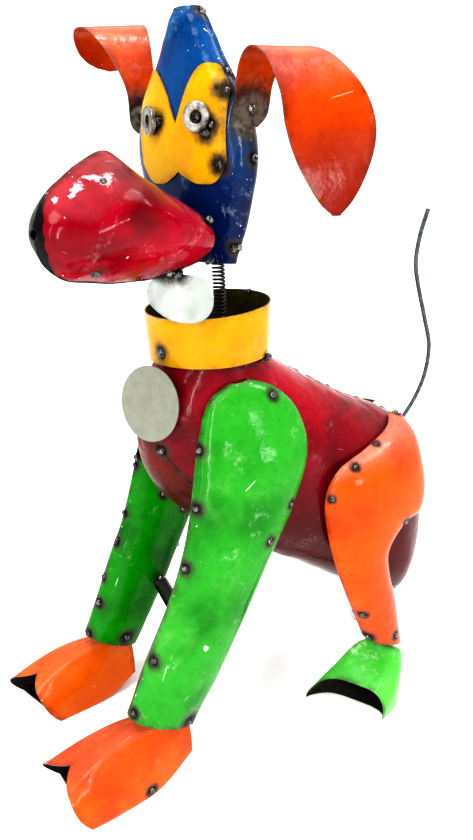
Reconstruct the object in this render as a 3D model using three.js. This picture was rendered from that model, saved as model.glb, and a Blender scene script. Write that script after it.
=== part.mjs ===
// Scrap metal dog: a standing dog welded from bent, painted drum sheet.
// Millimetres, +Z up, the dog looks along -Y, its left side is +X.
import * as THREE from "three";

// ---- driving dimensions ------------------------------------------------
const SHEET = 1.6;             // thickness of every painted sheet
const SEAM = 0.6;              // half of the gap left at a welded seam
const HEAD_YAW = 25;           // head turned to the dog's left, degrees
const COLLAR_RADIUS = 60;
const TAG_RADIUS = 37;
const SPRING_RADIUS = 6.5;
const SPRING_WIRE = 1.2;
const TAIL_RADIUS = 2.6;
const BRACE_RADIUS = 9;
const EYE_RADIUS = 12.5;
const EYE_HOLE = 5.5;
const GROUND = 3;              // height of the line the feet are drawn down to

const v3 = (x, y, z) => new THREE.Vector3(x, y, z);

// ---- helpers -----------------------------------------------------------
// Smooth curve through plain points; t runs from 0 to 1 by point number.
function through(points) {
  const last = points.length - 1;
  const size = points[0].length;
  return (t) => {
    const at = Math.min(Math.max(t, 0), 1) * last;
    const i = Math.min(Math.floor(at), last - 1);
    const f = at - i;
    const p = [i - 1, i, i + 1, i + 2].map((k) => points[Math.min(Math.max(k, 0), last)]);
    const out = [];
    for (let n = 0; n < size; n += 1) {
      const [a, b, c, d] = p.map((q) => q[n]);
      const m0 = (c - a) / 2;
      const m1 = (d - b) / 2;
      const f2 = f * f;
      const f3 = f2 * f;
      out.push(b * (2 * f3 - 3 * f2 + 1) + m0 * (f3 - 2 * f2 + f)
        + c * (3 * f2 - 2 * f3) + m1 * (f3 - f2));
    }
    return out;
  };
}

function solid(positions, indices) {
  const geometry = new THREE.BufferGeometry();
  geometry.setAttribute("position", new THREE.Float32BufferAttribute(positions, 3));
  geometry.setIndex(indices);
  geometry.computeVertexNormals();
  return geometry;
}

// Closed sheet body: the surface at(u, v) carried by half a thickness each way.
// With ring set, u closes on itself.
function sheet(at, nu, nv, thick = SHEET, ring = false) {
  const e = 1e-3;
  const cols = ring ? nu : nu + 1;
  const side = [1, -1].map(() => []);
  for (let i = 0; i < cols; i += 1) {
    for (let j = 0; j <= nv; j += 1) {
      const u = i / nu;
      const v = j / nv;
      const p = at(u, v);
      const du = at(Math.min(u + e, ring ? 2 : 1), v).sub(at(ring ? u - e : Math.max(u - e, 0), v));
      const dv = at(u, Math.min(v + e, 1)).sub(at(u, Math.max(v - e, 0)));
      const n = du.cross(dv).normalize().multiplyScalar(thick / 2);
      side[0].push(...p.clone().add(n).toArray());
      side[1].push(...p.clone().sub(n).toArray());
    }
  }
  const half = side[0].length / 3;
  const id = (i, j, s) => (i % cols) * (nv + 1) + j + s * half;
  const faces = [];
  const quad = (a, b, c, d) => faces.push(a, b, c, a, c, d);
  for (let i = 0; i < nu; i += 1) {
    for (let j = 0; j < nv; j += 1) {
      quad(id(i, j, 0), id(i + 1, j, 0), id(i + 1, j + 1, 0), id(i, j + 1, 0));
      quad(id(i, j, 1), id(i, j + 1, 1), id(i + 1, j + 1, 1), id(i + 1, j, 1));
    }
    quad(id(i, 0, 0), id(i, 0, 1), id(i + 1, 0, 1), id(i + 1, 0, 0));
    quad(id(i, nv, 0), id(i + 1, nv, 0), id(i + 1, nv, 1), id(i, nv, 1));
  }
  if (!ring) {
    for (let j = 0; j < nv; j += 1) {
      quad(id(0, j, 0), id(0, j + 1, 0), id(0, j + 1, 1), id(0, j, 1));
      quad(id(nu, j, 0), id(nu, j, 1), id(nu, j + 1, 1), id(nu, j + 1, 0));
    }
  }
  return solid([...side[0], ...side[1]], faces);
}

// Oval hoop section: a and b are two edge lines, bulge the swell between them.
// Angle 0 is on line a, pi on line b, 0..pi on the out side, pi..2 pi opposite.
// A lens of 1 makes the two sides meet at a keel, 0 rounds them into each other.
function hoop(a, b, bulge, out, square = 1, lens = 0) {
  const lineA = through(a);
  const lineB = through(b);
  const swell = through(bulge.map((x) => (Array.isArray(x) ? x : [x, x])));
  return (s, angle) => {
    const pa = v3(...lineA(s));
    const pb = v3(...lineB(s));
    const mid = pa.clone().add(pb).multiplyScalar(0.5);
    const half = pa.sub(pb).multiplyScalar(0.5);
    const d = swell(s)[Math.sin(angle) >= 0 ? 0 : 1];
    const round = Math.sign(Math.cos(angle)) * Math.abs(Math.cos(angle)) ** square;
    const keeled = Math.abs(1 - angle / Math.PI) * 2 - 1;
    const along = round + (keeled - round) * lens;
    const away = Math.sign(Math.sin(angle)) * Math.abs(Math.sin(angle)) ** square;
    return mid.addScaledVector(half, along).addScaledVector(out, d * away);
  };
}

function mesh(name, geometry, paint) {
  const made = new THREE.Mesh(geometry, paint);
  made.name = name;
  return made;
}

const paint = (color, roughness = 0.35, metalness = 0.1) =>
  new THREE.MeshStandardMaterial({ color, roughness, metalness });
const PAINT = {
  maroon: paint(0x8a1220),
  belly: paint(0x7a1a1c),
  green: paint(0x3fae2a),
  orange: paint(0xe8641c),
  yellow: paint(0xe9a710),
  blue: paint(0x1f4f9c, 0.25),
  red: paint(0xb8101e, 0.2),
  black: paint(0x151515, 0.5),
  white: paint(0xe6e8e2, 0.5),
  steel: paint(0x8f8f8c, 0.4, 0.9),
  grey: paint(0xa09a90, 0.55, 0.7),
};

// ---- torso ---------------------------------------------------------------
// Back line, chest-and-belly line and half width, from the neck to the rump.
const BACK = [
  [0, 89, 451], [0, 132, 422], [0, 174, 399], [0, 217, 378], [0, 256, 360],
  [0, 284, 336], [0, 300, 298], [0, 305, 250], [0, 298, 202], [0, 281, 160], [0, 264, 136],
];
const BELLY = [
  [0, -20, 458], [0, -44, 410], [0, -48, 365], [0, -34, 318], [0, 3, 279],
  [0, 55, 240], [0, 106, 204], [0, 155, 172], [0, 202, 142], [0, 238, 127], [0, 256, 123],
];
const GIRTH = [55, 61, 66, 70, 74, 78, 80, 78, 72, 58, 30];
const CHEST_TOP = 0.12;              // share of the torso's length where the chest panel begins
// Angle, in half turns, where the side panels meet the chest panel, neck to rump.
const CHEST_SEAM = [
  [1], [0.96], [0.83], [0.766], [0.76], [0.82], [0.88], [0.9], [0.9], [0.9], [0.9],
];

function torso() {
  const body = hoop(BACK, BELLY, GIRTH, v3(1, 0, 0));
  const gap = (s) => SEAM / GIRTH[Math.min(Math.round(s * 10), 10)] + 0.006;
  const seamLine = through(CHEST_SEAM);
  const seam = (s) => (s < CHEST_TOP ? 1 : Math.min(seamLine(s)[0], 1)) * Math.PI;
  const panel = (from, to, start = 0) => (u, v) => {
    const s = start + (1 - start) * u;
    const g = gap(s);
    return body(s, from(s) + g + (to(s) - from(s) - 2 * g) * v);
  };
  const turn = 2 * Math.PI;
  const left = panel(() => 0, seam);
  const right = panel((s) => turn - seam(s), () => turn);
  const chest = panel(seam, (s) => turn - seam(s), CHEST_TOP + 0.015);
  return [
    mesh("torso_left", sheet(left, 16, 8), PAINT.maroon),
    mesh("torso_right", sheet(right, 16, 8), PAINT.maroon),
    mesh("chest_panel", sheet(chest, 14, 6), PAINT.belly),
  ];
}

// ---- collar, tag and neck spring -----------------------------------------
const COLLAR_TOP = [30, 504.5];    // y and z of the top rim centre
const COLLAR_LOW = [30, 455];      // y and z of the bottom rim centre
const COLLAR_TILT = 5.5;           // rise of the top rim from its centre to its back
const SPRING_FOOT = v3(0, 42, 464);
const SPRING_TOP = v3(0, 41, 543);

function collar() {
  const at = (u, v) => {
    const a = u * 2 * Math.PI;
    const c = Math.cos(a);
    const y = Math.sin(a);
    const low = v3(COLLAR_RADIUS * c, COLLAR_LOW[0] + COLLAR_RADIUS * y, COLLAR_LOW[1] + 2 * y);
    const top = v3(COLLAR_RADIUS * c, COLLAR_TOP[0] + (COLLAR_RADIUS + 2) * y, COLLAR_TOP[1]);
    top.z += COLLAR_TILT * y - 1.5 * c;
    return top.lerp(low, v);
  };
  return mesh("collar", sheet(at, 28, 1, SHEET, true), PAINT.yellow);
}

// Flat or slightly dished round plate facing along normal.
function plate(centre, normal, rx, rz, thick = SHEET, dish = 0) {
  const n = normal.clone().normalize();
  const side = v3(0, 0, 1).cross(n).normalize();
  const up = n.clone().cross(side);
  const outline = new THREE.Shape();
  const steps = 24;
  for (let i = 0; i < steps; i += 1) {
    const a = (i / steps) * 2 * Math.PI;
    outline[i ? "lineTo" : "moveTo"](rx * Math.cos(a), rz * Math.sin(a));
  }
  const flat = new THREE.ExtrudeGeometry(outline, { depth: thick, bevelEnabled: false });
  flat.translate(0, 0, -thick / 2 + dish);
  flat.applyMatrix4(new THREE.Matrix4().makeBasis(side, up, n).setPosition(centre));
  return flat;
}

// Round bar along a smooth curve, ends closed.
function bar(points, radius, along, around) {
  const curve = new THREE.CatmullRomCurve3(points);
  const outline = new THREE.Shape();
  for (let i = 0; i < around; i += 1) {
    const a = (i / around) * 2 * Math.PI;
    outline[i ? "lineTo" : "moveTo"](radius * Math.cos(a), radius * Math.sin(a));
  }
  return new THREE.ExtrudeGeometry(outline, {
    steps: along, extrudePath: curve, bevelEnabled: false,
  });
}

function neckSpring() {
  const turns = 10;
  const perTurn = 8;
  const points = [];
  for (let i = 0; i <= turns * perTurn; i += 1) {
    const a = (i / perTurn) * 2 * Math.PI;
    const p = SPRING_FOOT.clone().lerp(SPRING_TOP, i / (turns * perTurn));
    points.push(v3(p.x + SPRING_RADIUS * Math.cos(a), p.y + SPRING_RADIUS * Math.sin(a), p.z));
  }
  return mesh("neck_spring", bar(points, SPRING_WIRE, turns * perTurn, 4), PAINT.steel);
}

function neckPlate() {
  const centre = v3(0, 31, 461.5);
  return mesh("neck_plate", plate(centre, v3(0, -0.04, 1), 55, 55), PAINT.belly);
}

function tag() {
  const facing = v3(Math.sin(0.72), -Math.cos(0.72), 0.1);
  const hung = plate(v3(32, -44.5, 420), facing, TAG_RADIUS * 0.84, TAG_RADIUS);
  return mesh("tag", hung, PAINT.grey);
}

// ---- head: a frame of its own, f forward, l to the dog's left, z up --------
const yaw = THREE.MathUtils.degToRad(HEAD_YAW);
const HEAD_AT = v3(0, 42, 545);
const FORWARD = v3(Math.sin(yaw), -Math.cos(yaw), 0);
const LEFT = v3(Math.cos(yaw), Math.sin(yaw), 0);
const head = (f, l, z) => HEAD_AT.clone()
  .addScaledVector(FORWARD, f).addScaledVector(LEFT, l).add(v3(0, 0, z));

// Height, half width, forward set of the side seam, front swell, rear swell.
const SKULL = [
  [2, 40, 22, 12, 12],
  [30, 51, 25, 15, 18],
  [60, 61, 28, 18, 24],
  [85, 67, 30, 20, 28],
  [110, 66, 32, 20, 30],
  [135, 56, 33, 18, 28],
  [161, 38, 34, 16, 24],
  [182, 26, 34, 15, 18],
  [196, 19, 35, 12, 12],
  [204, 13, 36, 8, 8],
];

// Point of the skull at height z, angle from the left seam over the front.
const skullLine = through(SKULL.map(([, ...rest]) => rest));
function skull(z, angle, lift = 0) {
  let t = 0;
  while (t < SKULL.length - 2 && SKULL[t + 1][0] < z) t += 1;
  const f = (z - SKULL[t][0]) / (SKULL[t + 1][0] - SKULL[t][0]);
  const [w, set, front, rear] = skullLine((t + f) / (SKULL.length - 1));
  const swell = Math.sin(angle) >= 0 ? front : rear;
  return head(set + (swell + lift) * Math.sin(angle), (w + lift) * Math.cos(angle), z);
}

function headShells() {
  const low = SKULL[0][0];
  const tall = SKULL.at(-1)[0] - low;
  const shell = (from, to) => (u, v) => {
    const z = low + tall * u;
    return skull(z, from + 0.02 + (to - from - 0.04) * v);
  };
  return [
    mesh("head_front", sheet(shell(0, Math.PI), 14, 12), PAINT.blue),
    mesh("head_back", sheet(shell(Math.PI, 2 * Math.PI), 12, 8), PAINT.blue),
  ];
}

// Two-lobed face plate lying on the front shell.
function mask() {
  const half = 49;
  const at = (u, v) => {
    const x = Math.abs(2 * u - 1);
    const corner = Math.max((x - 0.62) / 0.38, 0) ** 2.2;
    const top = 117 + 44 * Math.sin(Math.min(x * 2.7, Math.PI / 2)) - 20 * corner;
    const low = 80 - 10 * Math.sin(Math.min(x * 3.2, Math.PI / 2)) + 18 * corner;
    const z = low + (top - low) * v;
    const lean = (2 * u - 1) * half;
    let t = 0;
    while (t < SKULL.length - 2 && SKULL[t + 1][0] < z) t += 1;
    const f = (z - SKULL[t][0]) / (SKULL[t + 1][0] - SKULL[t][0]);
    const [w] = skullLine((t + f) / (SKULL.length - 1));
    return skull(z, Math.acos(Math.max(Math.min(lean / w, 0.94), -0.94)), SHEET + 2);
  };
  return mesh("mask", sheet(at, 14, 5), PAINT.yellow);
}

// Thick washer for an eye, standing just proud of the mask.
function eye(name, l) {
  const ring = new THREE.Shape();
  ring.absarc(0, 0, EYE_RADIUS, 0, 2 * Math.PI);
  const hole = new THREE.Path();
  hole.absarc(0, 0, EYE_HOLE, 0, 2 * Math.PI, true);
  ring.holes.push(hole);
  const washer = new THREE.ExtrudeGeometry(ring, {
    depth: 4, bevelEnabled: false, curveSegments: 8,
  });
  const facing = FORWARD.clone().addScaledVector(LEFT, l / 75).normalize();
  const side = v3(0, 0, 1).cross(facing).normalize();
  const up = facing.clone().cross(side);
  const angle = Math.acos(l / 67);
  const base = skull(121, angle, SHEET * 2 + 5.5);
  washer.applyMatrix4(new THREE.Matrix4().makeBasis(side, up, facing).setPosition(base));
  return mesh(name, washer, PAINT.steel);
}

// Muzzle: two dished halves meeting on a keel; f and z of the top and low line.
const KEEL_TOP = [
  [58, 59], [82, 69], [108, 82], [132, 94.5], [156, 85], [178, 73], [194, 58], [202, 41],
];
const KEEL_LOW = [
  [56, -4], [80, -6.5], [106, -6.5], [132, -5.5], [158, -2], [180, 4], [196, 16], [202, 32],
];
const MUZZLE_SWELL = [
  [46, 42], [50, 46], [50, 46], [47, 43], [41, 36], [31, 27], [18, 15], [5, 4],
];

function muzzle() {
  const body = hoop(
    KEEL_TOP.map(([f, z]) => head(f, 0, z).toArray()),
    KEEL_LOW.map(([f, z]) => head(f, 0, z).toArray()),
    MUZZLE_SWELL, LEFT, 1, 0.8);
  const halfShell = (from, to) => (u, v) => body(u, from + 0.045 + (to - from - 0.09) * v);
  return [
    mesh("muzzle_left", sheet(halfShell(0, Math.PI), 10, 8), PAINT.red),
    mesh("muzzle_right", sheet(halfShell(Math.PI, 2 * Math.PI), 10, 8), PAINT.black),
  ];
}

function jawPlate() {
  const facing = v3(0.78, -0.62, 0.1);
  return mesh("jaw_plate", plate(v3(50, -17, 520), facing, 31, 22), PAINT.white);
}

// ---- ears: leaf-shaped strips given by their two long edges ----------------
const LEFT_EAR = {
  front: [
    [78, 32, 658], [78, 25, 667], [79, 24, 690], [86, 25, 706], [97, 28, 711], [112, 33, 702],
    [126, 37, 679], [134, 38, 655], [137, 46, 632], [138, 62, 608], [138, 77, 592],
  ],
  rear: [
    [78, 43, 658], [78, 52, 668], [79, 56, 690], [87, 62, 707], [99, 69, 713], [116, 84, 708],
    [130, 103, 688], [137, 114, 664], [139, 114, 640], [139, 104, 614], [138, 89, 592],
  ],
};
const RIGHT_EAR = {
  front: [
    [-60, -14, 659], [-60, -21, 668], [-66, -22, 697], [-80, -32, 726], [-98, -46, 748], [-114, -54, 752],
    [-127, -54, 746], [-134, -48, 734], [-137, -36, 724],
  ],
  rear: [
    [-60, -3, 660], [-60, 4, 669], [-66, 6, 700], [-78, 8, 732], [-96, 10, 754], [-114, 10, 758],
    [-128, 8, 748], [-135, 2, 731], [-137, -12, 720],
  ],
};

function ear(name, { front, rear }) {
  const a = through(front);
  const b = through(rear);
  const at = (u, v) => v3(...b(u)).lerp(v3(...a(u)), v);
  return mesh(name, sheet(at, 16, 2), PAINT.orange);
}

// ---- forelegs and forefeet ---------------------------------------------------
// Front edge, rear edge and the swell outward and inward, shoulder to ankle.
const FORELEG = {
  front: [
    [61, 26, 439], [61, 4, 424], [63, -7, 392], [69, -16, 352], [74, -25, 305],
    [76, -40, 248], [75, -62, 190], [74, -82, 138], [73, -98, 98],
  ],
  rear: [
    [61, 44, 441], [61, 74, 429], [66, 98, 400], [77, 102, 360], [78, 86, 305],
    [76, 60, 250], [75, 35, 190], [74, 8, 130], [73, -25, 68],
  ],
  swell: [[4, 1], [12, 1], [18, 1], [21, 3], [23, 8], [25, 15], [25, 18], [24, 20], [22, 20]],
};
const FAR_SHIFT = [-9, -18];   // how far the right foreleg's two edges stand further forward

function foreleg(side, sign, shift) {
  const place = (list, by) => list.map(([x, y, z]) => {
    const low = Math.min((445 - z) / 60, 1) * (1 + 0.3 * (445 - z) / 380);
    return [sign * x, y + by * low, z];
  });
  const out = v3(sign, 0, 0);
  const front = place(FORELEG.front, shift[0]);
  const rear = place(FORELEG.rear, shift[1]);
  const leg = hoop(front, rear, FORELEG.swell, out);
  const outer = (u, v) => leg(u, 0.03 + (Math.PI - 0.06) * v);
  const inner = (u, v) => leg(0.46 + 0.54 * u, Math.PI + 0.03 + (Math.PI - 0.06) * v);
  const facing = (at) => (sign > 0 ? at : (u, v) => at(u, 1 - v));
  return [
    mesh(`foreleg_${side}_outer`, sheet(facing(outer), 12, 6), PAINT.green),
    mesh(`foreleg_${side}_inner`, sheet(facing(inner), 7, 6), PAINT.green),
  ];
}

// Folded sheet foot with a sole: two ground edges, arch height, and how far each part of
// the section reaches forward, from the sines of its angle and of twice its angle.
function foot(name, right, left, arch, reach, colour, square) {
  const heights = arch.map((height) => [height, 0]);
  const body = hoop(right, left, heights, v3(0, 0, 1), square);
  const at = (u, v) => {
    const angle = 2 * Math.PI * u;
    const p = body(v * reach(Math.sin(angle), Math.sin(2 * angle)), angle);
    p.z = Math.max(p.z, GROUND);
    return p;
  };
  return mesh(name, sheet(at, 20, 7, SHEET, true), colour);
}

function forefeet() {
  const arch = [44, 76, 65, 40];
  const toes = (one, two) => (one > 0 ? 0.85 + 0.15 * Math.abs(two) ** 0.7 : 0.85);
  const leftFoot = foot("forefoot_left",
    [[58, -42, 24], [46, -88, 6], [34, -138, 3], [26, -188, 3]],
    [[80, -31, 24], [96, -76, 5], [106, -126, 3], [110, -164, 3]],
    arch, toes, PAINT.orange, 0.8);
  const rightFoot = foot("forefoot_right",
    [[-86, -56, 24], [-102, -102, 5], [-112, -158, 3], [-116, -206, 3]],
    [[-64, -54, 24], [-55, -92, 5], [-48, -130, 3], [-42, -168, 3]],
    arch, toes, PAINT.orange, 0.8);
  return [leftFoot, rightFoot];
}

function brace() {
  const rod = bar([v3(-52, -17, 157), v3(0, -17, 157), v3(52, -17, 157)], BRACE_RADIUS, 1, 12);
  return mesh("leg_brace", rod, PAINT.black);
}

// ---- haunches and hind feet ----------------------------------------------------
const HAUNCH = {
  front: [
    [24, 246, 365], [52, 222, 358], [70, 180, 346], [77, 144, 332], [80, 128, 306],
    [80, 132, 266], [86, 143, 218], [86, 159, 178], [84, 176, 141], [82, 191, 106],
  ],
  rear: [
    [24, 264, 360], [46, 266, 344], [58, 270, 316], [68, 270, 288], [76, 260, 262],
    [82, 234, 254], [83, 214, 226], [83, 217, 190], [82, 230, 148], [82, 246, 84],
  ],
  swell: [
    [2, 2], [10, 2], [17, 2], [20, 2], [21, 2], [19, 4], [18, 10], [19, 19], [19, 19], [18, 18],
  ],
};
const FAR_STRIDE = 144;   // the right hind foot stands this much further back

function haunch(side, sign) {
  const stride = sign > 0 ? 0 : FAR_STRIDE;
  const place = (list) => list.map(([x, y, z]) => {
    const low = Math.min(Math.max((330 - z) / 240, 0), 1);
    return [sign * x, y + stride * low ** 1.5, z];
  });
  const out = v3(sign, 0, 0);
  const leg = hoop(place(HAUNCH.front), place(HAUNCH.rear), HAUNCH.swell, out);
  const outer = (u, v) => leg(u, 0.04 + (Math.PI - 0.08) * v);
  const inner = (u, v) => leg(0.88 + 0.12 * u, Math.PI + 0.04 + (Math.PI - 0.08) * v);
  const facing = (at) => (sign > 0 ? at : (u, v) => at(u, 1 - v));
  return [
    mesh(`haunch_${side}`, sheet(facing(outer), 14, 6), PAINT.orange),
    mesh(`hind_leg_${side}_inner`, sheet(facing(inner), 4, 6), PAINT.orange),
  ];
}

function hindFeet() {
  const inner = [[70, 226, 20], [62, 194, 22], [56, 164, 16], [49, 136, 3]];
  const outer = [[94, 246, 20], [104, 236, 5], [113, 220, 3], [119, 202, 3]];
  const flip = (list) => list.map(([x, y, z]) => [-x, y + FAR_STRIDE, z]);
  const arch = [54, 68, 42, 14];
  const toes = (one) => 1 - (one > 0 ? 0.2 * one : -0.26 * one);
  return [
    foot("hind_foot_left", inner, outer, arch, toes, PAINT.green, 0.5),
    foot("hind_foot_right", flip(outer), flip(inner), arch, toes, PAINT.green, 0.5),
  ];
}

function tail() {
  const line = [
    v3(0, 287, 341), v3(0, 304, 366), v3(0, 316, 397), v3(0, 318, 431), v3(0, 307, 465),
    v3(0, 292, 505), v3(0, 285, 531), v3(0, 287, 560), v3(0, 295, 588),
  ];
  return mesh("tail", bar(line, TAIL_RADIUS, 18, 6), PAINT.steel);
}

// ---- the whole dog ---------------------------------------------------------------
const dog = new THREE.Group();
dog.name = "scrap_metal_dog";
dog.add(...torso(), collar(), neckPlate(), tag(), neckSpring());
dog.add(...headShells(), mask(), eye("eye_left", 27), eye("eye_right", -27));
dog.add(...muzzle(), jawPlate(), ear("ear_left", LEFT_EAR), ear("ear_right", RIGHT_EAR));
dog.add(...foreleg("left", 1, [0, 0]), ...foreleg("right", -1, FAR_SHIFT), ...forefeet(), brace());
dog.add(...haunch("left", 1), ...haunch("right", -1), ...hindFeet(), tail());

// Origin at the bottom centre of the bounding box.
const box = new THREE.Box3().setFromObject(dog);
dog.position.set(-(box.min.x + box.max.x) / 2, -(box.min.y + box.max.y) / 2, -box.min.z);
dog.updateMatrixWorld(true);

export default dog;
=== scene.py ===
import itertools
import math

import bpy
import numpy as np
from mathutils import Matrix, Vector


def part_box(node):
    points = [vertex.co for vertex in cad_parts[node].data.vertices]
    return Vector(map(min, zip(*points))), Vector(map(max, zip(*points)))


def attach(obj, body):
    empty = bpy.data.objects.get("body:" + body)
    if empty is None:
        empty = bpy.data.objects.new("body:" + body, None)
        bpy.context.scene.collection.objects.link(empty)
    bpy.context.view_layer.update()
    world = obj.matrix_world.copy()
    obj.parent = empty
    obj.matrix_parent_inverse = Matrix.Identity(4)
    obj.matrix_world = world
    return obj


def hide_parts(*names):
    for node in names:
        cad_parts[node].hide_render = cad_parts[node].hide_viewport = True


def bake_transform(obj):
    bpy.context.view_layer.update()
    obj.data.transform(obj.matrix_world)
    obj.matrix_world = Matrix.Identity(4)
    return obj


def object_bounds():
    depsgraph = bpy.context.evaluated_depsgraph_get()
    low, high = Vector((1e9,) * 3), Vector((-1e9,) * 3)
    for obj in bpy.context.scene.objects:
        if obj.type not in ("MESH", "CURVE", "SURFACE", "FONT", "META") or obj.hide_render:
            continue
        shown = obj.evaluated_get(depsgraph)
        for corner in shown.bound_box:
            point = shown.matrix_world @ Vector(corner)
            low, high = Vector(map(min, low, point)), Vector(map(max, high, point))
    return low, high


# Looks of the scrap metal dog: hammered drum sheet, enamel, weld beads and burn marks.
# Shapes are in millimetres, the dog looking along -Y with its left side at +X.

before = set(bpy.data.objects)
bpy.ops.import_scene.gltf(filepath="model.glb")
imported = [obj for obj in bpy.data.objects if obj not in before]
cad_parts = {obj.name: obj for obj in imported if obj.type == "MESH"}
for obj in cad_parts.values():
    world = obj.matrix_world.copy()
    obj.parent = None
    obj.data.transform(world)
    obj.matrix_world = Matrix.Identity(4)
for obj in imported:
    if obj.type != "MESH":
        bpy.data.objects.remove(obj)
cad_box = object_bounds()

BRACE_AT = np.array([0.0, -17.0, 157.0])       # middle of the brace in the millimetre frame
SHIFT = np.array(sum(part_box("leg_brace"), Vector())) * 500 - BRACE_AT    # to the row frame
LOW, HIGH = (np.array(corner) for corner in cad_box)       # no piece leaves this box
THICK = 1.3                                    # sheet
SEAM = 0.25                                    # half the gap at a seam
GROUND = 3                                     # soles of the feet
NOSE_BLACK = 120                               # black paint starts here, slantwise
EYE_HEIGHT, EYE_OUT = 121.0, 27                # on the head, from its foot and middle
EYE_ROW = 67                                   # half width of the head at the eyes
FLOOR = 40                                     # half the floor, metres
TAU = 2 * math.pi
X = np.array([1.0, 0.0, 0.0])
Z = np.array([0.0, 0.0, 1.0])


# ---- curves, surfaces and relief ---------------------------------------------------
def through(points):
    """Smooth curve through points; t runs from 0 to 1 by point number."""
    pts = np.array(points, float)
    last = len(pts) - 1

    def line(t):
        at = np.clip(t, 0, 1) * last
        i = np.minimum(np.floor(at).astype(int), last - 1)
        f = (at - i)[..., None]
        a, b, c, d = (pts[np.clip(i + k, 0, last)] for k in (-1, 0, 1, 2))
        f2, f3 = f * f, f * f * f
        return (b * (2 * f3 - 3 * f2 + 1) + (c - a) / 2 * (f3 - 2 * f2 + f)
                + c * (3 * f2 - 2 * f3) + (d - b) / 2 * (f3 - f2))
    return line


def power(value, square):
    return np.sign(value) * np.abs(value) ** square


def hoop(a, b, bulge, out, square=1.0, lens=0.0):
    """Oval section between edge lines a and b; angle 0 is on a, pi on b.

    A lens of 1 makes the two sides meet at a keel, 0 rounds them into each other.
    """
    line_a, line_b = through(a), through(b)
    swell = through([x if isinstance(x, (list, tuple)) else (x, x) for x in bulge])
    out = np.array(out, float)

    def at(s, angle):
        pa, pb = line_a(s), line_b(s)
        d = swell(s)
        rise = np.where(np.sin(angle) >= 0, d[..., 0], d[..., 1])
        keeled = np.abs(1 - angle / math.pi) * 2 - 1
        rounded = power(np.cos(angle), square)
        along = (rounded + (keeled - rounded) * lens)[..., None]
        away = (rise * power(np.sin(angle), square))[..., None]
        return (pa + pb) / 2 + (pa - pb) / 2 * along + out * away
    return at


def noise(p, size, seed=0.0):
    """Smooth repeatable noise from -1 to 1 with features of about size mm."""
    q = p / size + seed * 17.31
    cell = np.floor(q)
    f = q - cell
    f = f * f * (3 - 2 * f)
    total = np.zeros(p.shape[:-1])
    for corner in itertools.product((0, 1), repeat=3):
        near = cell + np.array(corner)
        code = near[..., 0] * 127.1 + near[..., 1] * 311.7 + near[..., 2] * 74.7
        value = np.modf(np.sin(code) * 43758.5453)[0]
        weight = np.ones_like(total)
        for k in range(3):
            weight = weight * (f[..., k] if corner[k] else 1 - f[..., k])
        total += value * weight
    return total


def bump(p, centre, radius, height):
    """Round dent or swelling."""
    away = np.linalg.norm(p - np.array(centre, float), axis=-1)
    return height * np.exp(-(away / radius) ** 2)


def hammered(strength=1.0, seed=0.0):
    """Relief of beaten drum sheet: broad waves, hand dents and fine hammer marks."""
    def relief(p):
        broad = noise(p, 52, seed) * 1.1 + noise(p, 24, seed + 1) * 0.55
        fine = noise(p, 11, seed + 2) * 0.16 + noise(p, 6, seed + 3) * 0.06
        return strength * (broad + fine)
    return relief


def unit(vectors):
    return vectors / np.maximum(np.linalg.norm(vectors, axis=-1, keepdims=True), 1e-9)


def grid_normals(p, ring):
    if ring:
        du = np.roll(p[:-1], -1, 0) - np.roll(p[:-1], 1, 0)
        du = np.concatenate([du, du[:1]])
    else:
        du = np.gradient(p, axis=0)
    return unit(np.cross(du, np.gradient(p, axis=1)))


def path_to_edge(p, axis):
    """Distance along the sheet to the nearer end of each grid line."""
    steps = np.linalg.norm(np.diff(p, axis=axis), axis=-1)
    shape = list(p.shape[:2])
    shape[axis] = 1
    walked = np.concatenate([np.zeros(shape), np.cumsum(steps, axis)], axis)
    return np.minimum(walked, walked.max(axis, keepdims=True) - walked)


# ---- welds: where the beads sit, and how far each burnt the paint -----------------------
BURNS = []        # (place, radius)
BARED = []        # (place, radius) where the burnt paint has come off
BEADS = {"root": [], "head": []}


def weld(body, place, burn=8.0, size=3.4):
    BEADS[body].append((np.array(place, float), size))
    BURNS.append((np.array(place, float), burn))


def at_height(line, heights):
    """Points of a falling line at the given heights."""
    t = np.linspace(0, 1, 400)
    pts = line(t)
    return [pts[np.argmin(np.abs(pts[:, 2] - z))] for z in heights]


def burnt(p, scorched=BURNS):
    total = np.zeros(p.shape[:-1])
    for place, radius in scorched:
        away = np.linalg.norm(p - place, axis=-1)
        total = np.maximum(total, np.exp(-(away / radius) ** 2))
    return total


# ---- mesh making -------------------------------------------------------------------------
def make(name, verts, faces, materials, which, smooth, attributes=()):
    """Mesh object from millimetre vertices, in the row frame and inside the solids' box."""
    data = bpy.data.meshes.new(name)
    inside = np.clip((np.asarray(verts) + SHIFT) / 1000, LOW, HIGH)
    data.from_pydata(inside.tolist(), [], faces)
    for m in materials:
        data.materials.append(m)
    data.polygons.foreach_set("material_index", np.asarray(which, np.int32))
    data.polygons.foreach_set("use_smooth", np.asarray(smooth, bool))
    for key, values in dict(attributes).items():
        layer = data.attributes.new(key, "FLOAT", "POINT")
        layer.data.foreach_set("value", np.asarray(values, np.float32))
    data.update()
    made = bpy.data.objects.new(name, data)
    bpy.context.scene.collection.objects.link(made)
    return made


def own(piece, body, slot, *nodes):
    if body:
        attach(piece, body)
    if nodes:
        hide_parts(*nodes)
    return piece


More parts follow.
